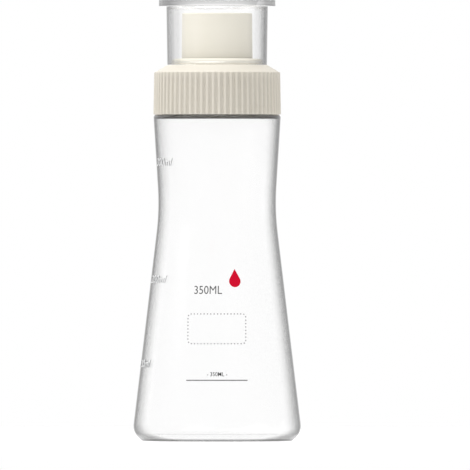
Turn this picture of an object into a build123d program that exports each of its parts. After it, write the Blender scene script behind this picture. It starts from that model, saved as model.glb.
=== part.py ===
from build123d import *

import os
from math import cos, hypot, radians, sin, tan

# Sugar shaker: a waisted bottle, a ribbed screw collar that clamps a sieve head on the bottle's neck,
# and a clear cover that stands on the collar's deck and lifts off.
# Millimetres and degrees. +Z is up, the front faces -Y, and the origin is where the axis meets the table.

# Bottle
foot_radius = 36.65        # where the lower taper would meet the table
foot_corner = 7.0          # where the side turns into the tucked-in foot
foot_tuck = 4.75           # from foot_radius in to where the tucked-in foot meets the table
foot_angle = 40.0          # of the tucked-in foot above the table
foot_edge = 1.2
waist_radius = 24.8        # where the two tapers would meet
waist_height = 99.0
waist_blend = 108.0
shoulder_height = 139.6
shoulder_ledge = 3.8       # from the neck's wall out to the shoulder's edge
shoulder_corner = 1.4
shoulder_wall = 1.8
bottle_wall = 1.3
bottle_floor = 1.4
inner_shoulder_corner = 1.0
inner_foot_edge = 1.0
standing_ring = 4.4        # flat width of the base outside its pushed-up dome
dome_rise = 1.7
neck_radius = 23.5
neck_wall = 1.7
neck_length = 16.0
neck_root_fillet = 0.6
mouth_chamfer = 0.4

# Washer between the neck's rim and the sieve head
seal_thickness = 1.2
seal_overhang = 0.4        # how far it reaches past the rim's inner edge

# Screw collar
thread_room = 1.5          # between the neck's wall and the skirt's bore, for the two threads
skirt_wall = 2.3           # ribs included, at the skirt's lower edge
collar_draft = 1.0
collar_gap = 0.4           # between the skirt's lower edge and the shoulder
collar_edge_chamfer = 0.5
collar_bore_chamfer = 0.7
deck_edge_inset = 0.6      # from the skirt's lower edge in to where the deck's slope starts
deck_land = 1.8            # level ring between the slope and the opening
deck_angle = 30.8
deck_wall = 1.8            # measured straight down
opening_fit = 0.1          # around the boss in the collar's opening
rib_count = 66
rib_phase = 1.9            # how far the front rib is turned from dead ahead
groove_width = 1.9         # across the mouth of a groove
groove_floor = 0.8
groove_depth = 0.75

# Sieve head
flange_edge = 1.4
flange_width = 3.9         # from the boss out to the neck's wall
funnel_chamfer = 1.6
boss_height = 3.0          # above the deck
boss_round = 1.4
boss_wall = 1.6
funnel_drop = 1.5          # fall of the boss's ceiling from the channel out to the boss's wall
tower_radius = 14.9        # at its foot
tower_height = 19.2
tower_draft = 0.6
tower_wall = 1.5           # at its top
tower_rim_chamfer = 0.3
lip_width = 0.9
lip_thickness = 1.2

# Mesh disc and the ring that holds it
mesh_thickness = 0.4
mesh_fit = 0.1             # around the disc and the ring in the channel
mesh_pitch = 1.5
mesh_gap = 1.1
mesh_border = 0.2          # plain edge between the outermost gaps and the lip
ring_height = 3.0

# Clear cover
cover_fit = 0.35           # around the boss
cover_wall = 1.4           # at its lower edge
cover_flare = 0.9          # the outside widens towards the rim
cover_inner_draft = 0.3
cover_headroom = 2.2       # between the tower and the roof
cover_roof = 3.4           # from the roof's underside to the top of the rim
cover_inner_corner = 1.5
rim_overhang = 3.25        # past the cover's side
rim_thickness = 2.6
rim_round = 0.4
rim_land = 2.6             # level ring around the dished top
dish_depth = 0.9

# Radii and heights that follow
shoulder_radius = neck_radius + shoulder_ledge
foot_base_radius = foot_radius - foot_tuck
dome_radius = foot_base_radius - standing_ring
bottle_bore = neck_radius - neck_wall
neck_top = shoulder_height + neck_length
head_base = neck_top + seal_thickness
boss_radius = neck_radius - flange_width
opening_radius = boss_radius + opening_fit
deck_flat_radius = opening_radius + deck_land
deck_slope = tan(radians(deck_angle))
deck_under = head_base + flange_edge + (neck_radius - deck_flat_radius) * deck_slope
deck_top = deck_under + deck_wall
boss_bore = boss_radius - boss_wall
boss_top = deck_top + boss_height
tower_top = boss_top + tower_height
tower_top_radius = tower_radius - tower_height * tan(radians(tower_draft))
channel_radius = tower_top_radius - tower_wall
lip_radius = channel_radius - lip_width
mesh_radius = channel_radius - mesh_fit
mesh_top = tower_top - lip_thickness
mesh_base = mesh_top - mesh_thickness
roof_under = tower_top + cover_headroom
cover_top = roof_under + cover_roof


def turned(corners, rounds=0):
    """Solid of revolution about Z, from (radius, height) corners and one rounding for each of them."""
    points = [(radius, 0, height) for radius, height in corners]
    return revolve(make_face(FilletPolyline(*points, radius=rounds, close=True)), Axis.Z)


def cap(radius, rise, base):
    """Shallow cap of a sphere, with its edge on the level of base. A negative rise hangs down."""
    apex = (0, 0, base + rise)
    edge = (radius, 0, base)
    centre = (0, 0, base)
    outline = TangentArc(apex, edge, tangent=(1, 0, 0)) + Line(edge, centre) + Line(centre, apex)
    return revolve(make_face(outline), Axis.Z)


def body_corners(inset, bottom, top):
    """Base, foot, waist and shoulder corners of the side, drawn in by inset from its outer faces."""
    rise = radians(foot_angle)
    lower = (foot_radius - waist_radius) / waist_height
    upper = (shoulder_radius - waist_radius) / (shoulder_height - waist_height)
    lower_inset = inset * hypot(1, lower)
    upper_inset = inset * hypot(1, upper)
    meeting = waist_height - (lower_inset - upper_inset) / (lower + upper)
    base = (foot_base_radius + (bottom * cos(rise) - inset) / sin(rise), bottom)
    foot_height = (foot_tuck - lower_inset + inset / sin(rise)) / (1 / tan(rise) + lower)
    foot = (foot_radius - foot_height * lower - lower_inset, foot_height)
    waist = (foot_radius - meeting * lower - lower_inset, meeting)
    shoulder = (shoulder_radius - (shoulder_height - top) * upper - upper_inset, top)
    return [base, foot, waist, shoulder]


def make_cavity():
    """The space inside the bottle, up to and through its mouth."""
    ceiling = shoulder_height - shoulder_wall
    mouth_radius = bottle_bore + mouth_chamfer
    corners = [
        (0, bottle_floor),
        *body_corners(bottle_wall, bottle_floor, ceiling),
        (bottle_bore, ceiling),
        (bottle_bore, neck_top - mouth_chamfer),
        (mouth_radius, neck_top),
        (0, neck_top),
    ]
    foot_rounds = [inner_foot_edge, foot_corner - bottle_wall]
    rounds = [0, *foot_rounds, waist_blend + bottle_wall, inner_shoulder_corner, 0, 0, 0, 0]
    return turned(corners, rounds) - cap(dome_radius, dome_rise, bottle_floor)


def make_bottle():
    corners = [
        (0, 0),
        *body_corners(0, 0, shoulder_height),
        (neck_radius, shoulder_height),
        (neck_radius, neck_top),
        (0, neck_top),
    ]
    rounds = [0, foot_edge, foot_corner, waist_blend, shoulder_corner, neck_root_fillet, 0, 0]
    return turned(corners, rounds) - make_cavity() - cap(dome_radius, dome_rise, 0)


def make_seal():
    inner = bottle_bore - seal_overhang
    return turned([(inner, neck_top), (neck_radius, neck_top), (neck_radius, head_base), (inner, head_base)])


def make_collar():
    """Skirt and deck turned in one profile, then the grooves that leave the grip ribs standing."""
    base = shoulder_height + collar_gap
    bore = neck_radius + thread_room
    radius = bore + skirt_wall
    deck_edge = radius - deck_edge_inset
    deck_edge_height = deck_top - (deck_edge - deck_flat_radius) * deck_slope
    blank = turned([
        (bore + collar_bore_chamfer, base),
        (radius - collar_edge_chamfer, base),
        (radius, base + collar_edge_chamfer),
        (radius - (deck_edge_height - base) * tan(radians(collar_draft)), deck_edge_height),
        (deck_edge, deck_edge_height),
        (deck_flat_radius, deck_top),
        (opening_radius, deck_top),
        (opening_radius, deck_under),
        (deck_flat_radius, deck_under),
        (bore, deck_under - (bore - deck_flat_radius) * deck_slope),
        (bore, base + collar_bore_chamfer),
    ])

    half_floor = groove_floor / 2
    half_outer = groove_width - half_floor
    section = Polygon(
        (-groove_depth, -half_floor),
        (groove_depth, -half_outer),
        (groove_depth, half_outer),
        (-groove_depth, half_floor),
        align=None,
    )
    height = deck_top - base
    cutter = Pos(0, 0, base) * Rot(0, -collar_draft, 0) * extrude(section, height, both=True)
    first_groove = rib_phase - 90 + 180 / rib_count
    return blank - [place * cutter for place in PolarLocations(radius, rib_count, first_groove)]


def make_head():
    """Flange, boss and tower in one moulding, with a funnel up to the channel and a lip at its top."""
    boss_ceiling = boss_top - boss_wall
    corners = [
        (boss_bore + funnel_chamfer, head_base),
        (neck_radius, head_base),
        (neck_radius, head_base + flange_edge),
        (deck_flat_radius, deck_under),
        (boss_radius, deck_under),
        (boss_radius, boss_top),
        (tower_radius, boss_top),
        (tower_top_radius, tower_top - tower_rim_chamfer),
        (tower_top_radius - tower_rim_chamfer, tower_top),
        (lip_radius, tower_top),
        (lip_radius, mesh_top),
        (channel_radius, mesh_top),
        (channel_radius, boss_ceiling),
        (boss_bore, boss_ceiling - funnel_drop),
        (boss_bore, head_base + funnel_chamfer),
    ]
    rounds = [boss_round if corner == (boss_radius, boss_top) else 0 for corner in corners]
    return turned(corners, rounds)


def make_mesh():
    """One flat net: a disc with a square grid of gaps, as far out as they clear the lip."""
    reach = lip_radius - mesh_border
    half_gap = mesh_gap / 2
    half_count = int(reach / mesh_pitch)
    steps = [mesh_pitch * index for index in range(-half_count, half_count + 1)]
    centres = [(x, y) for x in steps for y in steps if hypot(abs(x) + half_gap, abs(y) + half_gap) < reach]
    net = Circle(mesh_radius) - [Pos(x, y) * Rectangle(mesh_gap, mesh_gap) for x, y in centres]
    print("mesh gaps:", len(centres))
    return Pos(0, 0, mesh_base) * extrude(net, mesh_thickness)


def make_mesh_ring():
    base = mesh_base - ring_height
    corners = [(lip_radius, base), (mesh_radius, base), (mesh_radius, mesh_base), (lip_radius, mesh_base)]
    return turned(corners)


def make_cover():
    """Cup upside down on the deck, with a wide rim and a dished top."""
    lower_bore = boss_radius + cover_fit
    upper_bore = lower_bore - (roof_under - deck_top) * tan(radians(cover_inner_draft))
    rim_under = cover_top - rim_thickness
    lower_radius = lower_bore + cover_wall
    upper_radius = lower_radius + (rim_under - deck_top) * tan(radians(cover_flare))
    rim_radius = upper_radius + rim_overhang
    corners = [
        (lower_bore, deck_top),
        (lower_radius, deck_top),
        (upper_radius, rim_under),
        (rim_radius, rim_under),
        (rim_radius, cover_top),
        (0, cover_top),
        (0, roof_under),
        (upper_bore, roof_under),
    ]
    rounds = [0, 0, 0, rim_round, rim_round, 0, 0, cover_inner_corner]
    return turned(corners, rounds) - cap(rim_radius - rim_land, -dish_depth, cover_top)


pieces = {
    "bottle": make_bottle(),
    "neck_seal": make_seal(),
    "screw_collar": make_collar(),
    "sieve_head": make_head(),
    "sieve_mesh": make_mesh(),
    "mesh_ring": make_mesh_ring(),
    "clear_cover": make_cover(),
}

os.makedirs("parts", exist_ok=True)
for name, solid in pieces.items():
    solid.label = name
    export_step(solid, f"parts/{name}.step")
print("height:", round(cover_top, 2), "mm")
print("brimful volume:", round(make_cavity().volume / 1000), "ml")
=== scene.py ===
# %% [markdown]
# # A sugar shaker
#
# The real object is a waisted plastic bottle. A ribbed collar screws on its neck and clamps a sieve head
# there, and a clear cover stands over the sieve. This lesson dresses its CAD model: each CAD solid is
# hidden and a finer piece of the same size takes its place, with rounded edges, threads, woven wire and
# finishes.

# %% Load the CAD frame
import math

import bmesh
import bpy
import numpy as np
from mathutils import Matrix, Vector


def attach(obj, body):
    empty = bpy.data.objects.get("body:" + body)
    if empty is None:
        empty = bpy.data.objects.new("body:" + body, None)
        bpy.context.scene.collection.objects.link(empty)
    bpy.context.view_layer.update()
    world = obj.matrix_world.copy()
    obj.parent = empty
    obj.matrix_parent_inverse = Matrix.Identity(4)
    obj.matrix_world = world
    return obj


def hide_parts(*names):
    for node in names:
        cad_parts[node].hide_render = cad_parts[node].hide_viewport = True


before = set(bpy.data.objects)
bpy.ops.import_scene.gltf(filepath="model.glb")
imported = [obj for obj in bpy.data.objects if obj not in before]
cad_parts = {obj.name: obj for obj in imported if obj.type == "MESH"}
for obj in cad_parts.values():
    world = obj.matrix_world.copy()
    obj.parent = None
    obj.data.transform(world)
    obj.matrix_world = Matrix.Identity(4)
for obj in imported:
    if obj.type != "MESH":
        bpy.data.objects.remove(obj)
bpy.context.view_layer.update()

MM = 0.001

# %% [markdown]
# ## Outlines with soft corners
#
# Nearly everything here is round about one upright axis, so each piece starts as an outline: radius and
# height pairs in millimetres, once round the wall's section. Moulded plastic has small rounded corners that
# catch the light. A Bevel modifier could round them later, but true arcs keep every radius under control.

# %% Round the corners of an outline
ARC_STEP = math.radians(8)


def soft_outline(corners):
    """Outline points from (radius, height) or (radius, height, rounding) corners, all in mm."""
    full = [corner if len(corner) == 3 else (*corner, 0) for corner in corners]
    points = []
    for index, (radius, height, rounding) in enumerate(full):
        corner = Vector((radius, height))
        if not rounding:
            points.append(corner)
            continue
        back = (Vector(full[index - 1][:2]) - corner).normalized()
        ahead = (Vector(full[(index + 1) % len(full)][:2]) - corner).normalized()
        half = back.angle(ahead) / 2
        turn = math.pi - 2 * half
        centre = corner + (back + ahead).normalized() * rounding / math.sin(half)
        first = corner + back * rounding / math.tan(half) - centre
        last = corner + ahead * rounding / math.tan(half) - centre
        steps = max(3, math.ceil(turn / ARC_STEP), math.ceil(rounding * turn / 2))
        for step in range(steps + 1):
            swing = turn * step / steps
            spoke = (first * math.sin(turn - swing) + last * math.sin(swing)) / math.sin(turn)
            points.append(centre + spoke)
    return points


def dome_points(edge_radius, rise, base, steps=16):
    """Arc of a shallow dome, from the axis out to its edge at the height of base."""
    sphere = (edge_radius**2 + rise**2) / (2 * rise)
    radii = [edge_radius * step / steps for step in range(steps + 1)]
    side = math.copysign(1, rise)
    return [(radius, base + rise - sphere + side * math.sqrt(sphere**2 - radius**2)) for radius in radii]


print("a 7 mm corner has", len(soft_outline([(0, 0), (36, 0, 7), (30, 60)])) - 2, "points")

# %% [markdown]
# ## Turning an outline
#
# A Screw modifier would spin the outline too, but ribs and threads need the radius to change with the
# angle. So the mesh is a grid of rings, and a piece may pass in a rule that moves its points. Long straight
# runs get extra points first, or smooth shading would dent them beside tight corners.

# %% Turn an outline into a piece
SMOOTH_UP_TO = math.radians(32)
ROW_SPACING = 2.5
FIRST_ROW = 0.2


def with_support(points, run=ROW_SPACING, closed=True):
    """Adds points along straight runs, close ones near each end and the rest up to run apart."""
    spread = []
    count = len(points)
    for index in range(count if closed else count - 1):
        here = Vector(points[index])
        there = Vector(points[(index + 1) % count])
        length = (there - here).length
        spacing = run(here, there) if callable(run) else run
        spread.append(here)
        if length > spacing:
            near = min(FIRST_ROW, spacing / 2)
            stops = np.linspace(near, length - near, math.ceil(length / spacing) + 1)
            spread += [here.lerp(there, stop / length) for stop in stops]
    if not closed:
        spread.append(Vector(points[-1]))
    return spread


def new_object(name, data):
    """Object that shows some data, linked into the scene."""
    made = bpy.data.objects.new(name, data)
    bpy.context.scene.collection.objects.link(made)
    return made


def finish_mesh(name, points, faces):
    """Object from points in mm, with outward faces, smooth except across sharp edges."""
    mesh = bpy.data.meshes.new(name)
    mesh.from_pydata((np.asarray(points, float) * MM).tolist(), [], faces)
    work = bmesh.new()
    work.from_mesh(mesh)
    bmesh.ops.recalc_face_normals(work, faces=work.faces)
    work.to_mesh(mesh)
    work.free()
    mesh.shade_smooth()
    mesh.set_sharp_from_angle(angle=SMOOTH_UP_TO)
    return new_object(name, mesh)


def round_at(angle, radius):
    """X and Y of a point. Angle 0 is the front, -Y, and it grows towards +X."""
    return radius * np.sin(angle), -radius * np.cos(angle)


def turn_piece(name, outline, steps=240, rule=None):
    """Turns an outline about Z, and lets a rule move the radius and height of its points."""
    flat = np.array([tuple(point) for point in outline])
    on_axis = np.isclose(flat[:, 0], 0)
    angle = np.arange(steps)[:, None] * 2 * np.pi / steps
    radius = np.repeat(flat[None, :, 0], steps, axis=0)
    height = np.repeat(flat[None, :, 1], steps, axis=0)
    if rule:
        radius, height = rule(angle, radius, height)
    grid = np.stack([*round_at(angle, radius), height], axis=2)
    columns = len(flat)
    number = np.arange(steps * columns).reshape(steps, columns)
    number[:, on_axis] = number[0, on_axis]
    last = columns - 1 if on_axis.any() else columns
    following = np.roll(number, -1, axis=0)
    loops = [number, following, np.roll(following, -1, axis=1), np.roll(number, -1, axis=1)]
    used, renumbered = np.unique(np.stack(loops, axis=2)[:, :last], return_inverse=True)
    faces = [list(dict.fromkeys(loop)) for loop in renumbered.reshape(-1, 4).tolist()]
    piece = finish_mesh(name, grid.reshape(-1, 3)[used], faces)
    print(f"{name}: {columns} points round the section, {len(faces)} faces")
    return piece


# %% [markdown]
# ## The bottle
#
# It is blow moulded: a thin shell that widens from a slim waist to a foot that rounds over and tucks in at
# a slope, with a base pushed up so that it stands on a ring. The flat shoulder is thick, and the neck
# carries a screw thread. All of it is one closed skin, because a see-through material bends light at both
# faces of the wall. Here and below the sizes are the CAD's own, but for a few that move by tenths of a
# millimetre to meet the photograph's edges.

# %% Sizes of the bottle
FOOT_RADIUS = 36.65
WAIST_RADIUS = 24.8
WAIST_HEIGHT = 99.0
SHOULDER_RADIUS = 27.3
SHOULDER_HEIGHT = 139.6
SHOULDER_LAND = 139.78
FOOT_CORNER = 7.0
FOOT_BASE_RADIUS = 31.9
FOOT_ANGLE = math.radians(40)
FOOT_EDGE = 1.2
INNER_FOOT_EDGE = 1.0
WAIST_BLEND = 108.0
WALL = 1.3
FLOOR = 1.4
CEILING = SHOULDER_HEIGHT - WALL
OUTER_INSET = 0.02
DOME_RADIUS = 27.5
DOME_RISE = 1.7
NECK_RADIUS = 23.5
NECK_BORE = 21.8
NECK_TOP = 155.6
LOWER_SLOPE = (FOOT_RADIUS - WAIST_RADIUS) / WAIST_HEIGHT
UPPER_SLOPE = (SHOULDER_RADIUS - WAIST_RADIUS) / (SHOULDER_HEIGHT - WAIST_HEIGHT)


def side_corners(inset, bottom, top):
    """Base, foot, waist and shoulder corners of the side, drawn in by inset from the outside."""
    lower_inset = inset * math.hypot(1, LOWER_SLOPE)
    upper_inset = inset * math.hypot(1, UPPER_SLOPE)
    meeting = WAIST_HEIGHT - (lower_inset - upper_inset) / (LOWER_SLOPE + UPPER_SLOPE)
    tuck_inset = inset / math.sin(FOOT_ANGLE)
    base = (FOOT_BASE_RADIUS + bottom / math.tan(FOOT_ANGLE) - tuck_inset, bottom)
    tuck = FOOT_RADIUS - lower_inset - FOOT_BASE_RADIUS + tuck_inset
    foot_height = tuck / (1 / math.tan(FOOT_ANGLE) + LOWER_SLOPE)
    foot = (FOOT_RADIUS - foot_height * LOWER_SLOPE - lower_inset, foot_height)
    waist = (FOOT_RADIUS - meeting * LOWER_SLOPE - lower_inset, meeting)
    shoulder = (SHOULDER_RADIUS - (SHOULDER_HEIGHT - top) * UPPER_SLOPE - upper_inset, top)
    return base, foot, waist, shoulder


outer_base, outer_foot, outer_waist, outer_shoulder = side_corners(OUTER_INSET, 0, SHOULDER_LAND)
inner_base, inner_foot, inner_waist, inner_shoulder = side_corners(WALL, FLOOR, CEILING)
print("waist corner, outside and inside:", outer_waist, inner_waist)

# %% [markdown]
# ## The neck's thread
#
# The closure comes off in about a turn and a half, so its thread is steep: two ridges wind round the neck
# side by side. A swept ridge would cut into the skin and confuse the see-through material, so the skin
# itself is pushed out where a ridge passes. Each ridge fades in and out, as the ones cut into a mould do.

# %% Push the thread out of the neck
THREAD_LEAD = 6.0
THREAD_STARTS = 2
RIDGE_SPACING = THREAD_LEAD / THREAD_STARTS
NECK_RIDGE_DEPTH = 1.15
RIDGE_CREST = 0.5
RIDGE_ROOT = 1.45
THREAD_FROM = 144.0
THREAD_TO = 153.4
THREAD_FADE = 1.1
THREAD_ROWS = 0.2
ON_WALL = 0.01


def ease(value):
    """Goes from 0 to 1 without corners as value does."""
    value = np.clip(value, 0, 1)
    return value * value * (3 - 2 * value)


def neck_thread(angle, radius, height):
    """Pushes the neck's outside out along the ridges."""
    turns = (height - THREAD_LEAD * angle / (2 * np.pi)) / RIDGE_SPACING
    off_centre = np.abs(turns - np.round(turns)) * RIDGE_SPACING
    ridge = ease((RIDGE_ROOT / 2 - off_centre) / (RIDGE_ROOT / 2 - RIDGE_CREST / 2))
    fade = ease((height - THREAD_FROM) / THREAD_FADE) * ease((THREAD_TO - height) / THREAD_FADE)
    on_wall = np.isclose(radius, NECK_RADIUS, atol=ON_WALL)
    return radius + on_wall * NECK_RIDGE_DEPTH * ridge * fade, height


def bottle_spacing(here, there):
    """Close rows on the neck's outside, where the thread needs them."""
    on_wall = min(here.x, there.x) > NECK_RADIUS - ON_WALL and min(here.y, there.y) > SHOULDER_HEIGHT
    return THREAD_ROWS if on_wall else ROW_SPACING


bottle_corners = [
    *dome_points(DOME_RADIUS, DOME_RISE, 0),
    (*outer_base, FOOT_EDGE),
    (*outer_foot, FOOT_CORNER),
    (*outer_waist, WAIST_BLEND),
    (*outer_shoulder, 1.2),
    (NECK_RADIUS, SHOULDER_LAND, 0.6),
    (NECK_RADIUS, NECK_TOP, 0.4),
    (NECK_BORE, NECK_TOP, 0.4),
    (NECK_BORE, CEILING, 0.6),
    (*inner_shoulder, 0.3),
    (*inner_waist, WAIST_BLEND + WALL),
    (*inner_foot, FOOT_CORNER - WALL),
    (*inner_base, INNER_FOOT_EDGE),
    *reversed(dome_points(DOME_RADIUS, DOME_RISE, FLOOR)),
]
bottle_outline = with_support(soft_outline(bottle_corners), bottle_spacing, closed=False)
bottle = turn_piece("bottle_shell", bottle_outline, 240, neck_thread)

# %% [markdown]
# ## The washer
#
# A soft ring between the neck's rim and the sieve head keeps sugar out of the thread. It has rolled edges
# and a shallow groove on each face, which lets it squash a little.

# %% Turn the washer
SEAL_TOP = 156.8
SEAL_INNER = 21.4
SKIN_GAP = 0.02
SEAL_GROOVE = [(22.2, SKIN_GAP), (22.4, 0.17), (22.7, 0.17), (22.9, SKIN_GAP)]

washer_outline = soft_outline([
    (SEAL_INNER, NECK_TOP + SKIN_GAP, 0.3),
    *[(radius, NECK_TOP + depth, 0.1) for radius, depth in SEAL_GROOVE],
    (NECK_RADIUS, NECK_TOP + SKIN_GAP, 0.25),
    (NECK_RADIUS, SEAL_TOP - SKIN_GAP, 0.25),
    *[(radius, SEAL_TOP - depth, 0.1) for radius, depth in reversed(SEAL_GROOVE)],
    (SEAL_INNER, SEAL_TOP - SKIN_GAP, 0.3),
])
washer = turn_piece("washer", washer_outline, 180)

# %% [markdown]
# ## The grip collar
#
# Sixty-six upright ribs stand round the skirt, with shallow flat-bottomed grooves between them. The grooves
# rise over their last millimetre and stop where the deck slopes in, so the ribs flow up into the deck.
# Booleans would leave hard, uneven edges. Here every point of the outside is drawn in to the groove's floor
# wherever it lies further out, and an easing curve rounds the ribs' shoulders.

# %% Sizes of the collar
COLLAR_BASE = 139.85
COLLAR_RADIUS = 27.3
COLLAR_BORE = 25.0
COLLAR_DRAFT = math.tan(math.radians(1.0))
DECK_SLOPE = math.tan(math.radians(30.3))
DECK_TOP = 161.0
DECK_UNDER = 159.392
DECK_FLAT_RADIUS = 21.5
OPENING_RADIUS = 19.7
RIB_COUNT = 66
RIB_PHASE = math.radians(1.9)
GROOVE_DEPTH = 0.8
GROOVE_FLOOR = 0.7
GROOVE_MOUTH = 2.2
GROOVE_END = 1.2
GROOVE_END_DEPTH = 0.45
MOUTH_BEVEL = 0.7
RIBBED_FROM = COLLAR_BORE + 0.9
DECK_EDGE_RADIUS = 26.98
DECK_EDGE_HEIGHT = DECK_TOP - (DECK_EDGE_RADIUS - DECK_FLAT_RADIUS) * DECK_SLOPE
DECK_ROW_RADIUS = 26.2
EDGE_ROWS = 0.3
EDGE_ROWS_FROM = (25.5, DECK_EDGE_HEIGHT - 0.5)
LONG_RUN = 8


def rib_rule(angle, radius, height):
    """Draws the collar's outside in to the grooves between its ribs."""
    place = (angle - RIB_PHASE) * RIB_COUNT / (2 * np.pi) - 0.5
    off_centre = np.abs(place - np.round(place)) * 2 * np.pi * COLLAR_RADIUS / RIB_COUNT
    cut = ease((GROOVE_MOUTH / 2 - off_centre) / (GROOVE_MOUTH / 2 - GROOVE_FLOOR / 2))
    ending = ease((height - DECK_EDGE_HEIGHT + GROOVE_END) / GROOVE_END)
    depth = GROOVE_DEPTH + (GROOVE_END_DEPTH - GROOVE_DEPTH) * ending
    crest = COLLAR_RADIUS - (height - COLLAR_BASE) * COLLAR_DRAFT
    return np.where(radius > RIBBED_FROM, np.minimum(radius, crest - depth * cut), radius), height


def collar_spacing(here, there):
    """Close rows where the grooves end, under and over the deck's edge."""
    close = min(here.x, there.x) > EDGE_ROWS_FROM[0] and max(here.y, there.y) > EDGE_ROWS_FROM[1]
    return EDGE_ROWS if close and (there - here).length < LONG_RUN else ROW_SPACING


collar_outline = with_support(soft_outline([
    (COLLAR_BORE + MOUTH_BEVEL, COLLAR_BASE),
    (COLLAR_RADIUS, COLLAR_BASE, 0.4),
    (DECK_EDGE_RADIUS, DECK_EDGE_HEIGHT, 0.25),
    (DECK_ROW_RADIUS, DECK_TOP - (DECK_ROW_RADIUS - DECK_FLAT_RADIUS) * DECK_SLOPE),
    (DECK_FLAT_RADIUS, DECK_TOP, 0.8),
    (OPENING_RADIUS, DECK_TOP, 0.2),
    (OPENING_RADIUS, DECK_UNDER),
    (DECK_FLAT_RADIUS, DECK_UNDER),
    (COLLAR_BORE, DECK_UNDER - (COLLAR_BORE - DECK_FLAT_RADIUS) * DECK_SLOPE, 0.5),
    (COLLAR_BORE, COLLAR_BASE + MOUTH_BEVEL),
]), collar_spacing)
collar = turn_piece("grip_collar", collar_outline, RIB_COUNT * 12, rib_rule)

# %% [markdown]
# ## The collar's own thread
#
# Two ridges inside the skirt run in the gaps between the neck's ridges. The collar isn't see-through, so
# here a swept ridge is fine: a small trapezium is carried along a rising line, its root sunk in the wall,
# and is joined to the collar.

# %% Sweep the collar's ridges
COLLAR_RIDGE_DEPTH = 1.05
COLLAR_RIDGE_START = 144.6
COLLAR_RIDGE_TURNS = 0.85
RIDGE_SUNK = -0.15
RIDGE_HALF_ROOT = 0.6
RIDGE_HALF_CREST = 0.22
RIDGE_FADES = 8
RIDGE_LEAST = 0.02


def tube_sides(base, rings, sides):
    """Faces round a tube whose rings of points follow each other from base on."""
    starts = [(base + ring * sides, side) for ring in range(rings - 1) for side in range(sides)]
    corners = [(start + side, start + (side + 1) % sides) for start, side in starts]
    return [(first, second, second + sides, first + sides) for first, second in corners]


def swept_ridge(start_angle, start_height, turns, steps=110):
    """One ridge that rises along the collar's bore."""
    points = []
    for step in range(steps + 1):
        share = step / steps
        angle = start_angle + 2 * math.pi * turns * share
        height = start_height + THREAD_LEAD * turns * share
        depth = COLLAR_RIDGE_DEPTH * float(ease(min(share, 1 - share) * RIDGE_FADES)) + RIDGE_LEAST
        root = (RIDGE_SUNK, RIDGE_HALF_ROOT)
        crest = (depth, RIDGE_HALF_CREST)
        for (inward, half), side in [(root, -1), (crest, -1), (crest, 1), (root, 1)]:
            points.append((*round_at(angle, COLLAR_BORE - inward), height + side * half))
    ends = [(3, 2, 1, 0), tuple(4 * steps + side for side in range(4))]
    return finish_mesh("collar_ridge", points, tube_sides(0, steps + 1, 4) + ends)


# The neck's ridges pass through height 0 at angle 0, so the gaps lie half a spacing above them.
gap_height = COLLAR_RIDGE_START + (RIDGE_SPACING / 2 - COLLAR_RIDGE_START) % RIDGE_SPACING
starts = [2 * math.pi * start / THREAD_STARTS for start in range(THREAD_STARTS)]
ridges = [swept_ridge(angle, gap_height, COLLAR_RIDGE_TURNS) for angle in starts]
with bpy.context.temp_override(active_object=collar, selected_editable_objects=[collar, *ridges]):
    bpy.ops.object.join()
print("collar ridges start at", round(gap_height, 2), "mm")

# %% [markdown]
# ## The sieve head
#
# One moulding: a flange that the collar clamps, a boss above the deck, and a plain tower whose rim turns in
# over the mesh. Its only ornaments are its radii: a generous one on the boss, a small one at the tower's
# foot and a crisp one at its rim.

# %% Turn the sieve head
BOSS_TOP = 163.8
BOSS_RADIUS = 19.6
BOSS_BORE = 18.0
TOWER_RADIUS = 15.2
TOWER_TOP_RADIUS = 15.0
TOWER_TOP = 183.392
CHANNEL_RADIUS = 13.2
LIP_RADIUS = 12.3
MESH_TOP = 182.192
BOSS_CEILING = BOSS_TOP - 1.6
CEILING_SLOPE = 1.5
FLANGE_THICK = 1.4
FLANGE_BEVEL = 1.6

head_outline = with_support(soft_outline([
    (BOSS_BORE + FLANGE_BEVEL, SEAL_TOP, 0.5),
    (NECK_RADIUS, SEAL_TOP, 0.2),
    (NECK_RADIUS, SEAL_TOP + FLANGE_THICK, 0.2),
    (DECK_FLAT_RADIUS, DECK_UNDER - SKIN_GAP),
    (BOSS_RADIUS, DECK_UNDER - SKIN_GAP),
    (BOSS_RADIUS, BOSS_TOP, 1.4),
    (TOWER_RADIUS, BOSS_TOP, 0.12),
    (TOWER_TOP_RADIUS, TOWER_TOP, 0.45),
    (LIP_RADIUS, TOWER_TOP, 0.3),
    (LIP_RADIUS, MESH_TOP, 0.2),
    (CHANNEL_RADIUS, MESH_TOP),
    (CHANNEL_RADIUS, BOSS_CEILING, 0.6),
    (BOSS_BORE, BOSS_CEILING - CEILING_SLOPE, 0.6),
    (BOSS_BORE, SEAL_TOP + FLANGE_BEVEL, 0.6),
]))
head = turn_piece("sieve_tower", head_outline, 200)

# %% [markdown]
# ## The wire mesh
#
# The sieve is woven steel wire: every wire passes over one crossing wire and under the next. A flat plate
# with holes would read as plastic from above, so each wire is a thin tube along a wavy line, and the two
# sets of wires wave the opposite way at each crossing.

# %% Weave the mesh
MESH_RADIUS = 13.1
MESH_EDGE = 0.5
WIRE_RADIUS = 0.1
WIRE_SPACING = 0.75
MESH_MIDDLE = MESH_TOP - 2 * WIRE_RADIUS
WIRE_SIDES = 6
SAMPLES_PER_CROSSING = 4


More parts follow.
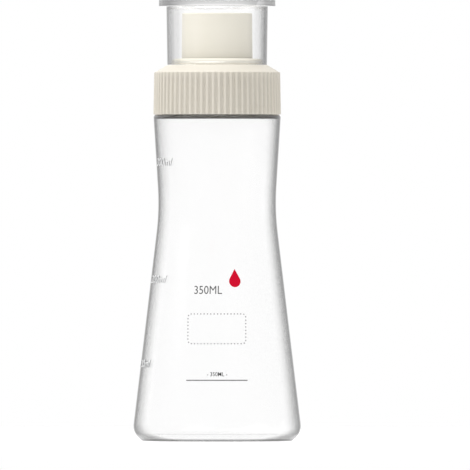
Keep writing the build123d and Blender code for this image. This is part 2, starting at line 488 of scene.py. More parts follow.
def woven_wire(across, parity, along_x):
    """Points of one wavy wire at a distance from the middle, and how many rings they make."""
    reach = math.sqrt((MESH_RADIUS - WIRE_RADIUS) ** 2 - across**2)
    count = max(2, int(2 * reach / WIRE_SPACING * SAMPLES_PER_CROSSING))
    points = []
    for along in np.linspace(-reach, reach, count):
        height = MESH_MIDDLE + WIRE_RADIUS * math.cos(math.pi * (along / WIRE_SPACING + parity))
        for side in range(WIRE_SIDES):
            swing = 2 * math.pi * side / WIRE_SIDES
            beside = across + WIRE_RADIUS * math.cos(swing)
            place = (along, beside) if along_x else (beside, along)
            points.append((*place, height + WIRE_RADIUS * math.sin(swing)))
    return points, count


def weave(name):
    """Both sets of wires as one mesh."""
    wires = int((MESH_RADIUS - MESH_EDGE) / WIRE_SPACING)
    points = []
    faces = []
    for index in range(-wires, wires + 1):
        for along_x in (True, False):
            base = len(points)
            wire, count = woven_wire(index * WIRE_SPACING, index + along_x, along_x)
            points += wire
            faces += tube_sides(base, count, WIRE_SIDES)
            for end in (base, base + (count - 1) * WIRE_SIDES):
                faces.append(tuple(range(end, end + WIRE_SIDES)))
    print("woven wires:", 2 * (2 * wires + 1))
    return finish_mesh(name, points, faces)


wire_mesh = weave("wire_mesh")

# %% [markdown]
# ## The ring under the mesh
#
# A push-fit ring holds the mesh up against the tower's lip. Three shallow finger notches in its lower edge
# let it be pulled out for washing.

# %% Turn the mesh ring
RING_BASE = 178.792
RING_TOP = 181.792
NOTCHES = 3
NOTCH_NARROWING = 4
NOTCH_DEPTH = 0.9
NOTCH_REACH = 1.2
RING_ROWS = 0.4


def ring_notches(angle, radius, height):
    """Lifts the lower edge in wide soft notches."""
    notch = ease(np.cos(NOTCHES * angle) * NOTCH_NARROWING - (NOTCH_NARROWING - 1))
    low = ease((RING_BASE + NOTCH_REACH - height) / NOTCH_REACH)
    return radius, height + NOTCH_DEPTH * notch * low


ring_outline = with_support(soft_outline([
    (LIP_RADIUS, RING_BASE, 0.25),
    (MESH_RADIUS, RING_BASE, 0.25),
    (MESH_RADIUS, RING_TOP - SKIN_GAP, 0.15),
    (LIP_RADIUS, RING_TOP - SKIN_GAP, 0.15),
]), RING_ROWS)
mesh_ring = turn_piece("mesh_ring_band", ring_outline, 180, ring_notches)

# %% [markdown]
# ## The clear cover
#
# A cup upside down in clear plastic, with a wide rim and a dished top. Its lower edge is relieved inside,
# where it slips over the boss. Both faces of its wall are modelled, as the bottle's are.

# %% Turn the clear cover
COVER_BORE = 20.25
COVER_TOP_BORE = 20.12
COVER_RADIUS = 21.35
COVER_TOP_RADIUS = 21.746
ROOF_UNDER = 186.492
RIM_UNDER = 186.2
RIM_RADIUS = 24.996
COVER_TOP = 188.992
DISH_RADIUS = 22.4
DISH_DEPTH = 0.9
RELIEF_HEIGHT = 1.2
RELIEF_DEPTH = 0.35

cover_corners = [
    *dome_points(DISH_RADIUS, -DISH_DEPTH, COVER_TOP, 24),
    (RIM_RADIUS, COVER_TOP, 0.35),
    (RIM_RADIUS, RIM_UNDER, 0.15),
    (COVER_TOP_RADIUS, RIM_UNDER, 0.3),
    (COVER_RADIUS, DECK_TOP + SKIN_GAP, 0.35),
    (COVER_BORE + RELIEF_DEPTH, DECK_TOP + SKIN_GAP, 0.15),
    (COVER_BORE + RELIEF_DEPTH, DECK_TOP + RELIEF_HEIGHT, 0.1),
    (COVER_BORE, DECK_TOP + RELIEF_HEIGHT, 0.15),
    (COVER_TOP_BORE, ROOF_UNDER, 2.0),
    (0, ROOF_UNDER),
]
cover = turn_piece("clear_cup", with_support(soft_outline(cover_corners), closed=False), 240)

# %% [markdown]
# ## Print and raised marks that follow the bottle
#
# The bottle carries generic marks: raised volume numbers down its left side, and on the front a drop, a
# plain volume, a dashed panel and a thin rule. Each is drawn flat in millimetres, cut into narrow strips,
# made thick and bent round the bottle: sideways becomes an angle, and thickness stands out from the wall. A
# decal image would be quicker but has no edge to catch the light.

# %% Helpers that bend flat shapes onto the bottle
STRIP = 0.6
CAPITAL_SHARE = 0.7
side_rows = bottle_outline[len(dome_points(DOME_RADIUS, DOME_RISE, 0)):]
side_end = next(index for index, row in enumerate(side_rows) if row.y > SHOULDER_HEIGHT)
outer_radii, outer_heights = zip(*side_rows[:side_end])


def bottle_radius(height):
    """Outer radius of the bottle's side at a height, in mm."""
    return float(np.interp(height, outer_heights, outer_radii))


def bend_on(name, flat, centre_angle, centre_height, clear, thickness):
    """Cuts a flat bmesh into strips, thickens it and bends it onto the bottle's side."""
    low = min(point.co.x for point in flat.verts)
    high = max(point.co.x for point in flat.verts)
    for cut in np.arange(low + STRIP, high, STRIP):
        everything = flat.verts[:] + flat.edges[:] + flat.faces[:]
        bmesh.ops.bisect_plane(flat, geom=everything, plane_co=(cut, 0, 0), plane_no=(1, 0, 0))
    for point in flat.verts:
        point.co.z = clear
    lifted = bmesh.ops.extrude_face_region(flat, geom=flat.faces[:])
    for part in lifted["geom"]:
        if isinstance(part, bmesh.types.BMVert):
            part.co.z = clear + thickness
    points = []
    for number, point in enumerate(flat.verts):
        point.index = number
        height = centre_height + point.co.y
        angle = centre_angle + point.co.x / bottle_radius(height)
        points.append((*round_at(angle, bottle_radius(height) + point.co.z), height))
    faces = [[point.index for point in face.verts] for face in flat.faces]
    flat.free()
    piece = finish_mesh(name, points, faces)
    print(f"{name}: {len(faces)} faces")
    return piece


def flat_shape(*loops):
    """A bmesh in the plane with one face for each loop of (x, y) points."""
    flat = bmesh.new()
    for loop in loops:
        flat.faces.new([flat.verts.new((x, y, 0)) for x, y in loop])
    return flat


def flat_words(words, cap_height, slant=0.0, right_aligned=False, width=None, weight=0.0):
    """Plain letters in Blender's own font as a flat bmesh, drawn out to a width if one is given."""
    letters = bpy.data.curves.new("letters", "FONT")
    letters.body = words
    letters.size = cap_height / CAPITAL_SHARE
    letters.shear = slant
    letters.offset = weight
    letters.align_x = "RIGHT" if right_aligned else "CENTER"
    letters.align_y = "CENTER"
    letters.resolution_u = 4
    holder = new_object("letters", letters)
    bpy.context.view_layer.update()
    mesh = bpy.data.meshes.new_from_object(holder.evaluated_get(bpy.context.evaluated_depsgraph_get()))
    bpy.data.objects.remove(holder)
    flat = bmesh.new()
    flat.from_mesh(mesh)
    bmesh.ops.remove_doubles(flat, verts=flat.verts, dist=0.001)
    if width:
        places = [point.co.x for point in flat.verts]
        bmesh.ops.scale(flat, verts=flat.verts, vec=(width / (max(places) - min(places)), 1, 1))
    return flat


print("bottle radius at 50 mm:", round(bottle_radius(50), 2))

# %% Raised volume marks down the left side
VOLUME_MARKS = {"100ml": (-62.0, 33.1), "200ml": (-50.9, 69.2), "300ml": (-48.7, 119.3)}
MARK_HEIGHT = 3.3
MARK_SLANT = 0.35
MARK_STRETCH = 1.14
MARK_THICK = 0.36
MARK_SUNK = -0.03
volume_marks = []
for words, (angle, height) in VOLUME_MARKS.items():
    flat = flat_words(words, MARK_HEIGHT, slant=MARK_SLANT, right_aligned=True)
    bmesh.ops.scale(flat, verts=flat.verts, vec=(MARK_STRETCH, 1, 1))
    mark = bend_on("volume_mark_" + words, flat, math.radians(angle), height, MARK_SUNK, MARK_THICK)
    volume_marks.append(mark)

# %% Drop, volume, panel and rule on the front
PRINT_CLEAR = 0.01
PRINT_THICK = 0.03
CORNER_STEPS = 6


def drop_outline(width, height, steps=18):
    """Left and right sides of a drop, a circle below and straight flanks up to the point."""
    belly = width / 2
    point = height - belly
    touch = math.acos(belly / point)
    start = math.pi / 2 - touch
    swings = [start - (math.pi + 2 * start) * step / steps for step in range(steps + 1)]
    return [(0, point), *[(belly * math.cos(swing), belly * math.sin(swing)) for swing in swings]]


def bar(first, second, thick):
    """Loop of four points round a thick line."""
    along = (second - first).normalized() * thick / 2
    side = Vector((-along.y, along.x))
    return [first - side, second - side, second + side, first + side]


def dash_loops(width, height, corner, dash, gap, thick):
    """Short bars along a rounded rectangle, each one a loop of four points."""
    path = []
    for quarter, (side_x, side_y) in enumerate([(1, 1), (-1, 1), (-1, -1), (1, -1)]):
        for step in range(CORNER_STEPS + 1):
            swing = math.pi / 2 * (quarter + step / CORNER_STEPS)
            centre_x = side_x * (width / 2 - corner)
            centre_y = side_y * (height / 2 - corner)
            path.append(Vector((centre_x + corner * math.cos(swing), centre_y + corner * math.sin(swing))))
    path.append(path[0])
    lengths = np.cumsum([0, *[(there - here).length for here, there in zip(path, path[1:])]])
    across, upright = zip(*path)
    count = round(lengths[-1] / (dash + gap))
    loops = []
    for index in range(count):
        ends = [lengths[-1] * (index + share) / count for share in (0, dash / (dash + gap))]
        places = zip(np.interp(ends, lengths, across), np.interp(ends, lengths, upright))
        loops.append(bar(*[Vector(place) for place in places], thick))
    return loops


def print_on(name, flat, across, height):
    """Bends a flat shape onto the front, its middle across mm to the right of the axis as seen."""
    angle = math.asin(across / bottle_radius(height))
    return bend_on(name, flat, angle, height, PRINT_CLEAR, PRINT_THICK)


drop = print_on("red_drop", flat_shape(drop_outline(width=5.1, height=7.8)), 7.6, 68.5)
volume_print = print_on("volume_print", flat_words("350ML", 3.5, width=12.0), -4.0, 64.6)
small_words = flat_words("- 350ML -", 1.75, width=8.7, weight=0.012)
small_volume_print = print_on("small_volume_print", small_words, 0.0, 28.75)
dashes = dash_loops(width=25.4, height=12.72, corner=1.5, dash=0.5, gap=0.94, thick=0.5)
panel = print_on("write_on_panel", flat_shape(*dashes), -0.1, 48.2)
rule_loop = bar(Vector((-13.45, 0)), Vector((13.45, 0)), thick=0.46)
rule = print_on("rule_line", flat_shape(rule_loop), -0.1, 26.22)

# %% [markdown]
# ## Finishes: small tools for node trees
#
# Every finish is procedural. One helper adds a node and fills or links its inputs by name, and the others
# stand for the nodes that come back again and again: sums, shares, ramps and mixes. The last two start a
# material and a node group.

# %% Helpers for node trees
WHITE = (1, 1, 1, 1)


def add(tree, kind, settings=None, **inputs):
    """Adds a node. An input given as a socket is linked, and any other value is set on it."""
    made = tree.nodes.new("ShaderNode" + kind)
    for key, value in (settings or {}).items():
        setattr(made, key, value)
    for key, value in inputs.items():
        socket = made.inputs[int(key[1:])] if key[1:].isdigit() else made.inputs[key.replace("_", " ")]
        if isinstance(value, bpy.types.NodeSocket):
            tree.links.new(value, socket)
        else:
            socket.default_value = value
    return made


def here(tree):
    """The place on the piece."""
    return add(tree, "TexCoord").outputs["Object"]


def height_of(tree, place):
    return add(tree, "SeparateXYZ", Vector=place).outputs["Z"]


def noise(tree, place, **knobs):
    return add(tree, "TexNoise", Vector=place, **knobs).outputs["Fac"]


def calc(tree, operation, *values):
    """Result of a Math node."""
    inputs = {f"_{index}": value for index, value in enumerate(values)}
    return add(tree, "Math", {"operation": operation}, **inputs).outputs[0]


def vector_calc(tree, operation, output, *values):
    """One output of a Vector Math node."""
    inputs = {f"_{index}": value for index, value in enumerate(values)}
    return add(tree, "VectorMath", {"operation": operation}, **inputs).outputs[output]


def share_between(tree, value, low, high):
    """How far a value is on its way from low to high, from 0 to 1."""
    return add(tree, "MapRange", Value=value, From_Min=low, From_Max=high).outputs[0]


def from_axis(tree, place):
    """The way from the upright axis out to a place."""
    return vector_calc(tree, "MULTIPLY", "Vector", place, (1, 1, 0))


def ramp(tree, value, *stops):
    """Colour ramp through (position, colour) stops."""
    made = add(tree, "ValToRGB", Fac=value)
    points = made.color_ramp.elements
    while len(points) < len(stops):
        points.new(0.5)
    for point, (position, colour) in zip(points, stops):
        point.position = position
        point.color = (*colour, 1)
    return made.outputs["Color"]


def grey(level):
    return (level, level, level)


def greys(tree, value, *stops):
    """Grey ramp through (position, level) stops."""
    return ramp(tree, value, *[(position, grey(level)) for position, level in stops])


def mottled(tree, noise, dark, light):
    """From a dark colour to a light one as a noise goes up."""
    return ramp(tree, noise, (0.3, dark), (0.7, light))


def shade(red, green, blue):
    """A colour as a screen shows it, 0 to 255, turned into the linear one that shaders use."""
    parts = [part / 255 for part in (red, green, blue)]
    return tuple(part / 12.92 if part <= 0.04045 else ((part + 0.055) / 1.055) ** 2.4 for part in parts)


def blended(tree, share, first, second, how="MIX"):
    """The first colour where share is 0 and the second where it is 1."""
    mix = add(tree, "Mix", {"data_type": "RGBA", "blend_type": how}, _0=share, _6=first, _7=second)
    return mix.outputs[2]


def times(tree, first, second):
    """Multiplies two colours."""
    return blended(tree, 1.0, first, second, "MULTIPLY")


def either(tree, share, first, second):
    """The first shader where share is 0 and the second where it is 1."""
    return add(tree, "MixShader", _0=share, _1=first, _2=second).outputs[0]


def new_finish(name, build, *details):
    """A material whose surface is the shader that build makes in its node tree."""
    finish = bpy.data.materials.new(name)
    finish.use_nodes = True
    tree = finish.node_tree
    tree.nodes.clear()
    tree.links.new(build(tree, *details), add(tree, "OutputMaterial").inputs["Surface"])
    return finish


def new_group(name, knobs, results):
    """A node group, and the sockets of its two ends: its knobs as given and its results."""
    group = bpy.data.node_groups.new(name, "ShaderNodeTree")
    for knob, value in knobs.items():
        socket = group.interface.new_socket(knob, in_out="INPUT", socket_type="NodeSocketFloat")
        socket.default_value = value
    for result in results:
        group.interface.new_socket(result, in_out="OUTPUT", socket_type="NodeSocketFloat")
    return group, group.nodes.new("NodeGroupInput").outputs, group.nodes.new("NodeGroupOutput").inputs


# %% [markdown]
# ## A group for moulded plastic
#
# Every plastic part has a skin that copies a steel mould: a fine grain, faint flow marks, and a gloss that
# changes slightly from place to place. That effect is one node group with its own knobs. It puts out a
# cloud value, a roughness and a height, and each finish decides how much of them to use.

# %% Build the moulded-skin group


def moulded_skin_group():
    knobs = {"Grain per metre": 2500.0, "Roughness": 0.4, "Roughness spread": 0.08}
    group, given, results = new_group("moulded skin", knobs, ("Cloud", "Roughness", "Height"))
    place = here(group)
    flow = add(group, "Mapping", Vector=place, Scale=(1.0, 1.0, 0.35)).outputs["Vector"]
    clouds = noise(group, flow, Scale=85.0, Detail=4.0, Roughness=0.55, Distortion=0.6)
    grain = noise(group, place, Scale=given["Grain per metre"], Detail=2.0)
    centred = calc(group, "SUBTRACT", clouds, 0.5)
    spread = calc(group, "MULTIPLY_ADD", centred, given["Roughness spread"], given["Roughness"])
    group.links.new(clouds, results["Cloud"])
    group.links.new(spread, results["Roughness"])
    group.links.new(grain, results["Height"])
    return group


moulded_skin = moulded_skin_group()

# %% [markdown]
# ## A group that finds the outer skin
#
# See-through plastic looks greyer towards its outline. A ramp on Layer Weight gives that, but it would also
# darken inner and level faces, which the real plastic doesn't show. This group tells them apart: on the
# outer skin the normal points away from the axis, and on a level face it is nearly upright.

# %% Build the outer-skin group


def outer_skin_group():
    group, given, results = new_group("outer skin", {"Tilt from": 0.97, "Tilt to": 0.99}, ("Mask",))
    place = add(group, "TexCoord")
    away = vector_calc(
        group, "DOT_PRODUCT", "Value", from_axis(group, place.outputs["Object"]), place.outputs["Normal"],
    )
    outer = calc(group, "GREATER_THAN", away, 0.0)
    tilt = calc(group, "ABSOLUTE", height_of(group, place.outputs["Normal"]))
    upright = add(
        group, "MapRange", Value=tilt, From_Min=given["Tilt from"], From_Max=given["Tilt to"],
        To_Min=1.0, To_Max=0.0,
    )
    group.links.new(calc(group, "MULTIPLY", outer, upright.outputs[0]), results["Mask"])
    return group


outer_skin = outer_skin_group()
print("node groups:", sorted(bpy.data.node_groups.keys()))

# %% [markdown]
# ## Cream plastic
#
# Collar, sieve head and mesh ring are one satin cream plastic, and the head and the ring get a copy of it
# painted paler, for the way they look through the clear cover. The clouds move the colour by a hair only.
# Little light gets down into the collar's grooves or to the foot of the tower, so both get painted shade.

# %% Mix the cream plastic
GROOVE_PAINTED_SHADE = 0.84
GROOVE_SHADE_FADE = 0.6


def place_skin(tree, grain, roughness, spread):
    """Places the moulded-skin group in a material with its own values."""
    knobs = {"Grain_per_metre": grain, "Roughness": roughness, "Roughness_spread": spread}
    return add(tree, "Group", {"node_tree": moulded_skin}, **knobs).outputs


def grain_bump(tree, height, strength, depth):
    """Bump whose grain is depth metres deep."""
    return add(tree, "Bump", Strength=strength, Distance=depth, Height=height).outputs["Normal"]


def moulded(tree, skin, colour, strength, depth, **more):
    """Principled shader with the moulded skin's roughness and its grain."""
    return add(
        tree, "BsdfPrincipled", Base_Color=colour, Roughness=skin["Roughness"],
        Normal=grain_bump(tree, skin["Height"], strength, depth), **more,
    ).outputs[0]


def by_height(tree, *stops):
    """Grey levels that follow the height on the piece, from (height in mm, level) stops."""
    low, high = stops[0][0] * MM, stops[-1][0] * MM
    share = share_between(tree, height_of(tree, here(tree)), low, high)
    return greys(tree, share, *[((mm * MM - low) / (high - low), level) for mm, level in stops])


def painted_groove_shade(tree):
    """Painted shade in the collar's grooves, a grey there, and white on its ribs and above them."""
    place = here(tree)
    height = height_of(tree, place)
    radius = vector_calc(tree, "LENGTH", "Value", from_axis(tree, place))
    crest = (COLLAR_RADIUS + COLLAR_BASE * COLLAR_DRAFT) * MM
    undrafted = calc(tree, "MULTIPLY_ADD", height, COLLAR_DRAFT, radius)
    out = share_between(tree, undrafted, crest - GROOVE_DEPTH * MM, crest)
    above = share_between(tree, height, (DECK_EDGE_HEIGHT - GROOVE_SHADE_FADE) * MM, DECK_EDGE_HEIGHT * MM)
    return greys(tree, calc(tree, "MAXIMUM", out, above), (0.0, GROOVE_PAINTED_SHADE), (1, 1))


def painted_foot_shade(tree):
    """Painted shade where the deck, the boss and the tower meet under the cover, and a painted shadow line
    at the tower's foot.
    """
    return by_height(
        tree, (161, 0.93), (161.8, 0.86), (162.7, 0.86), (163.1, 1), (163.75, 1), (163.9, 0.6),
        (164.6, 0.8), (167, 0.91), (171, 0.97), (176, 1),
    )


def cream(tree, dark, light, painted_shade):
    """Cream plastic, darkened by painted shade where little light gets in."""
    skin = place_skin(tree, 2600.0, 0.5, 0.12)
    colour = times(tree, mottled(tree, skin["Cloud"], dark, light), painted_shade(tree))
    return moulded(tree, skin, colour, 0.35, 0.00004, IOR=1.46)


cream_plastic = new_finish("cream plastic", cream, shade(220, 214, 201), shade(223, 217, 205), painted_groove_shade)
# A copy of the cream plastic painted paler, for the way the head and ring look through the clear cover.
cream_plastic_painted_paler = new_finish(
    "cream plastic painted paler", cream, shade(241, 236, 221), shade(243, 238, 224), painted_foot_shade,
)

# %% [markdown]
# ## Satin see-through plastic
#
# Transmission with some roughness gives the bottle its veil. Plastic of this kind also looks greyer towards
# its outline, where the eye looks along the wall. Layer Weight knows how much a surface faces away, so a
# ramp on it tints the plastic grey there, with ramps for three heights and one for the foot. The base ring
# and the shoulder are thick, and bands by height paint shade on them: a painted shadow along the bottom
# edge, a painted dark line where the inner floor's edge shows through, and a painted shadow under the
# collar. The tint acts only where light enters the outer skin, or it would count several times over.
# Rough glass is slow to light what is inside it, so for shadow rays and scattered light a Transparent
# shader takes its place.

# %% Mix the satin plastic
BOUNCES_BEFORE_PASSING = 5.5
MIRRORINGS_BEFORE_PASSING = 2.5


def lets_light_by(tree, plastic, veil):
    """Mixes in a Transparent shader for shadow rays, scattered light and light trapped in the wall."""
    path = add(tree, "LightPath")
    passing = calc(tree, "MAXIMUM", path.outputs["Is Shadow Ray"], path.outputs["Is Diffuse Ray"])
    limits = {"Ray Depth": BOUNCES_BEFORE_PASSING, "Glossy Depth": MIRRORINGS_BEFORE_PASSING}
    for depth, limit in limits.items():
        passing = calc(tree, "MAXIMUM", passing, calc(tree, "GREATER_THAN", path.outputs[depth], limit))
    return either(tree, passing, plastic, add(tree, "BsdfTransparent", Color=(*grey(veil), 1)).outputs[0])


def where_light_enters(tree, tilt_from, tilt_to):
    """1 on the outer skin where light comes in, and 0 elsewhere."""
    in_front = calc(tree, "SUBTRACT", 1.0, add(tree, "NewGeometry").outputs["Backfacing"])
    mask = add(tree, "Group", {"node_tree": outer_skin}, Tilt_from=tilt_from, Tilt_to=tilt_to)
    return calc(tree, "MULTIPLY", mask.outputs["Mask"], in_front)


def by_facing(tree, *stops):
    """Grey levels that follow how far the surface faces away, from (facing, level) stops."""
    return greys(tree, add(tree, "LayerWeight", Blend=0.5).outputs["Facing"], *stops)


def tinted(tree, skin, tint, amount):
    """A tint made a hair darker where the clouds are."""
    return times(tree, tint, mottled(tree, skin["Cloud"], grey(1 - amount), grey(1.0)))


def satin(tree):
    skin = place_skin(tree, 1500.0, 0.14, 0.08)
    upper = by_facing(
        tree, (0.22, 1), (0.3, 0.97), (0.363, 0.925), (0.4, 0.865), (0.443, 0.765), (0.49, 0.62),
        (0.517, 0.53), (0.575, 0.345), (0.608, 0.24), (0.643, 0.145), (0.683, 0.08),
        (0.73, 0.023), (0.78, 0),
    )
    middle = by_facing(
        tree, (0.36, 1), (0.4, 0.975), (0.426, 0.9), (0.452, 0.826), (0.479, 0.748), (0.508, 0.62),
        (0.54, 0.5), (0.575, 0.359), (0.614, 0.245), (0.658, 0.147), (0.71, 0.067), (0.78, 0),
    )
    lower = by_facing(
        tree, (0.42, 1), (0.444, 0.965), (0.483, 0.87), (0.527, 0.7), (0.551, 0.603), (0.577, 0.482),
        (0.605, 0.365), (0.636, 0.283), (0.67, 0.187), (0.707, 0.129), (0.752, 0.053), (0.8, 0),
    )
    foot = by_facing(
        tree, (0.42, 1), (0.457, 0.86), (0.492, 0.54), (0.536, 0.32), (0.59, 0.2),
        (0.66, 0.18), (0.85, 0.18),
    )
    outline = blended(tree, by_height(tree, (25, 0), (80, 1)), lower, middle)
    outline = blended(tree, by_height(tree, (104, 0), (124, 1)), outline, upper)
    outline = blended(tree, by_height(tree, (2.2, 0), (3.2, 1)), foot, outline)
    # Painted shadow along the bottom edge, and a painted dark line where the inner floor's edge shows
    # through.
    base = by_height(
        tree, (0, 0.5), (0.3, 0.3), (0.4, 0.09), (0.75, 0.11), (1, 0.45), (1.2, 1),
        (2.93, 1), (3, 0.72), (3.22, 0.72), (3.3, 1),
    )
    # Painted shadow under the collar, on a shoulder that is also thick.
    shoulder = by_height(tree, (137.8, 1), (137.95, 0.06), (139.8, 0.06), (140, 1))
    outline_grey_and_painted_shade = times(tree, outline, times(tree, base, shoulder))
    tint = tinted(tree, skin, blended(tree, where_light_enters(tree, 0.97, 0.99), WHITE, outline_grey_and_painted_shade), 0.004)
    plastic = moulded(tree, skin, tint, 0.2, 0.00003, IOR=1.45, Transmission_Weight=1.0)
    return lets_light_by(tree, plastic, 0.99)


satin_plastic = new_finish("satin bottle plastic", satin)

# %% [markdown]
# ## Clear cover plastic, washer, wire, inks and raised letters
#
# The cover is the same idea without the veil. Its rim is solid, so it has ramps of its own, with a painted
# dark line under its top edge and a painted lighter band low down. The washer is a soft silicone with a
# dusty sheen. The wire is bright steel with fine drawing lines. The inks are matte, and a little uneven, as
# screen print is.

# %% Mix the clear plastic


def clear(tree):
    skin = place_skin(tree, 900.0, 0.025, 0.03)
    wall = by_facing(
        tree, (0.2, 1), (0.3, 0.83), (0.352, 0.64), (0.386, 0.59), (0.441, 0.5), (0.472, 0.43),
        (0.506, 0.29), (0.544, 0.21), (0.585, 0.144), (0.632, 0.075), (0.687, 0.035),
        (0.756, 0.025), (0.88, 0),
    )
    # Painted shade and light in the solid rim: a grey ramp, a painted dark line under its top edge and a
    # painted lighter band low down.
    rim = by_facing(tree, (0, 0.56), (0.08, 0.52), (0.17, 0.38), (0.3, 0.24), (0.45, 0.1), (0.85, 0.04))
    low_rim_painted_highlight = by_facing(tree, (0, 0.8), (0.08, 0.7), (0.17, 0.42), (0.3, 0.16), (0.45, 0.06), (0.85, 0.02))
    painted_rim_line = by_height(tree, (187.9, 0.85), (188.1, 0.6), (188.45, 0.6), (188.6, 1))
    rim = blended(tree, by_height(tree, (186.9, 0), (187.1, 1)), low_rim_painted_highlight, times(tree, rim, painted_rim_line))
    outline = blended(tree, by_height(tree, (186.3, 0), (186.45, 1)), wall, rim)
    tint = tinted(tree, skin, blended(tree, where_light_enters(tree, 0.5, 0.8), WHITE, outline), 0.006)
    plastic = add(
        tree, "BsdfPrincipled", Base_Color=tint, Roughness=skin["Roughness"],
        IOR=1.49, Transmission_Weight=1.0,
    )
    return lets_light_by(tree, plastic.outputs[0], 0.97)


clear_plastic = new_finish("clear cover plastic", clear)

# %% Mix the washer's silicone, the wire, the inks and the raised letters


def rubber(tree):
    skin = place_skin(tree, 3200.0, 0.6, 0.15)
    colour = mottled(tree, skin["Cloud"], shade(222, 224, 224), shade(232, 233, 233))
    return moulded(tree, skin, colour, 0.3, 0.00004, IOR=1.41, Sheen_Weight=0.15)


def steel(tree):
    lines = noise(tree, here(tree), Scale=4200.0, Detail=3.0, Roughness=0.7)
    return add(
        tree, "BsdfPrincipled", Base_Color=mottled(tree, lines, shade(176, 177, 178), shade(214, 215, 216)),
        Roughness=add(tree, "MapRange", Value=lines, To_Min=0.18, To_Max=0.42).outputs[0],
        Metallic=1.0, Normal=grain_bump(tree, lines, 0.4, 0.00001),
    ).outputs[0]


def ink(tree, thick, thin):
    """Matte ink that is thinner in small patches."""
    patches = noise(tree, here(tree), Scale=900.0, Detail=3.0, Roughness=0.6)
    return add(
        tree, "BsdfPrincipled", Base_Color=ramp(tree, patches, (0.35, thick), (0.75, thin)), Roughness=0.6,
        Specular_IOR_Level=0.1, Normal=grain_bump(tree, patches, 0.3, 0.00002),
    ).outputs[0]


def raised(tree):
    """Raised letters: white on their faces, and painted shade, grey, on their flanks."""
    place = add(tree, "TexCoord")
    outward = vector_calc(tree, "NORMALIZE", "Vector", from_axis(tree, place.outputs["Object"]))
    level = vector_calc(tree, "DOT_PRODUCT", "Value", outward, place.outputs["Normal"])
    skin = place_skin(tree, 1500.0, 0.35, 0.1)
    tint = mottled(tree, skin["Cloud"], shade(246, 247, 248), shade(252, 252, 252))
    # Painted shade: grey where the normal turns away from the outward direction, on the letters' flanks.
    colour = times(tree, mottled(tree, level, grey(0.3), grey(1.0)), tint)
    return moulded(tree, skin, colour, 0.2, 0.00003, IOR=1.45)


silicone = new_finish("silicone", rubber)
steel_wire = new_finish("steel wire", steel)
red_ink = new_finish("red ink", ink, shade(206, 0, 41), shade(214, 3, 47))
GREY_INKS = {"grey": (110, 132), "pale grey": (132, 154), "dark grey": (82, 100), "black": (26, 42)}
grey_ink, pale_ink, dark_ink, black_ink = [
    new_finish(name + " ink", ink, *[shade(tone, tone, tone) for tone in tones])
    for name, tones in GREY_INKS.items()
]
raised_plastic = new_finish("raised letters", raised)
print("finishes:", len(bpy.data.materials))

# %% [markdown]
# ## Putting the pieces on their bodies
#
# The collar turns and climbs off the neck with the sieve head, and the cover lifts off the deck. Each piece
# rides on the CAD body that it belongs to, and the solid it stands for is hidden.

# %% Dress and mount each piece


def mount(piece, finish, body, node=None):
    """Gives a piece its finish and its body, and hides the CAD node that it stands for, if there is one."""
    piece.data.materials.clear()
    piece.data.materials.append(finish)
    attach(piece, body)
    if node:
        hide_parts(node)


mount(bottle, satin_plastic, "bottle", "bottle")
mount(washer, silicone, "thread_carrier", "neck_seal")
mount(collar, cream_plastic, "closure", "screw_collar")
mount(head, cream_plastic_painted_paler, "closure", "sieve_head")
mount(wire_mesh, steel_wire, "closure", "sieve_mesh")
mount(mesh_ring, cream_plastic_painted_paler, "closure", "mesh_ring")
mount(cover, clear_plastic, "cover", "clear_cover")
for mark in volume_marks:
    mount(mark, raised_plastic, "bottle")
mount(drop, red_ink, "bottle")
mount(volume_print, dark_ink, "bottle")
mount(small_volume_print, black_ink, "bottle")
mount(panel, pale_ink, "bottle")
mount(rule, grey_ink, "bottle")

# %% [markdown]
# ## The studio
#
# The photograph is a catalogue shot: a level view with no perspective to speak of, pure white behind, soft
# light from the upper left. A very long lens from far away gives the flat view. The white is what the
# camera, reflections and clear plastic see. Scattered light sees a dimmer world, so four soft lamps can
# shape the cream parts: a key on the left, a fill on the right, one above, and one behind on the left.

# %% Camera
PICTURE_SPAN = 0.2013
CAMERA_DISTANCE = 9.3
SENSOR = 36.0
ACROSS = 0.00765
EYE_HEIGHT = 0.08825

camera_data = bpy.data.cameras.new("camera")
camera_data.sensor_width = SENSOR
camera_data.lens = SENSOR * CAMERA_DISTANCE / PICTURE_SPAN
camera_data.clip_end = 30.0
camera = new_object("camera", camera_data)
camera.location = (ACROSS, -CAMERA_DISTANCE, EYE_HEIGHT)
camera.rotation_euler = (math.pi / 2, 0, 0)
bpy.context.scene.camera = camera
print("lens in mm:", round(camera_data.lens))

# %% Floor that fades into the white
FLOOR_RADIUS = 0.9
FLOOR_CORNERS = 128
FADE_FROM = 0.25
FADE_TO = FLOOR_RADIUS * 0.95
FLOOR_LIFT = 0.2


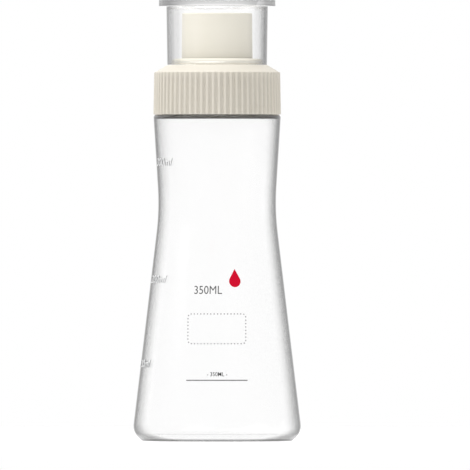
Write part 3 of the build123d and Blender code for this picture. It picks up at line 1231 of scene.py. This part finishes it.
def paper_floor(tree):
    """Pale paper with a little lift for the camera, white in reflections and clear far out."""
    place = here(tree)
    paper = noise(tree, place, Scale=300.0, Detail=3.0)
    colour = mottled(tree, paper, grey(0.93), grey(0.95))
    sheet = add(tree, "BsdfPrincipled", Base_Color=colour, Roughness=0.7)
    fade = add(
        tree, "MapRange", {"interpolation_type": "SMOOTHSTEP"},
        Value=vector_calc(tree, "LENGTH", "Value", place), From_Min=FADE_FROM, From_Max=FADE_TO,
    )
    path = add(tree, "LightPath")
    mirrored = calc(tree, "MAXIMUM", path.outputs["Is Glossy Ray"], path.outputs["Is Transmission Ray"])
    lift = calc(tree, "MULTIPLY", path.outputs["Is Camera Ray"], FLOOR_LIFT)
    glow = add(tree, "Emission", Color=WHITE, Strength=lift)
    white = add(tree, "Emission", Color=WHITE, Strength=1.0)
    lifted = add(tree, "AddShader", _0=sheet.outputs[0], _1=glow.outputs[0])
    seen = either(tree, mirrored, lifted.outputs[0], white.outputs[0])
    return either(tree, fade.outputs[0], seen, add(tree, "BsdfTransparent").outputs[0])


swings = [2 * math.pi * step / FLOOR_CORNERS for step in range(FLOOR_CORNERS)]
floor_loop = [(*round_at(swing, FLOOR_RADIUS / MM), 0) for swing in swings]
floor = finish_mesh("studio_floor", floor_loop, [tuple(range(FLOOR_CORNERS))])
floor.data.materials.append(new_finish("studio floor", paper_floor))

# %% World: white to the camera, softer to scattered light
AMBIENT = 0.55

world = bpy.data.worlds.new("studio")
world.use_nodes = True
sky = world.node_tree
sky.nodes.clear()
path = add(sky, "LightPath")
seen = calc(sky, "MAXIMUM", path.outputs["Is Camera Ray"], path.outputs["Is Glossy Ray"])
seen = calc(sky, "MAXIMUM", seen, path.outputs["Is Transmission Ray"])
soft = add(sky, "Background", Color=WHITE, Strength=AMBIENT)
white = add(sky, "Background", Color=WHITE, Strength=1.0)
both = either(sky, seen, soft.outputs[0], white.outputs[0])
sky.links.new(both, add(sky, "OutputWorld").inputs["Surface"])
bpy.context.scene.world = world

# %% Lamps
LAMPS = {
    "key": ((-1.1, -0.5, 0.7), 0.7, 4.1),
    "fill": ((0.6, -1.0, 0.9), 0.7, 3.4),
    "top": ((-0.15, -0.1, 0.95), 0.6, 4.0),
    "rim": ((-0.92, 0.77, 0.5), 1.1, 1.35),
}
aim = Vector((0, 0, 0.11))
for name, (place, size, power) in LAMPS.items():
    lamp_data = bpy.data.lights.new(name, "AREA")
    lamp_data.shape = "DISK"
    lamp_data.size = size
    lamp_data.energy = power
    lamp = new_object(name, lamp_data)
    lamp.location = place
    lamp.rotation_euler = (aim - lamp.location).to_track_quat("-Z", "Y").to_euler()
print("lamps:", sorted(LAMPS))

# %% View settings
bpy.context.scene.view_settings.view_transform = "Standard"
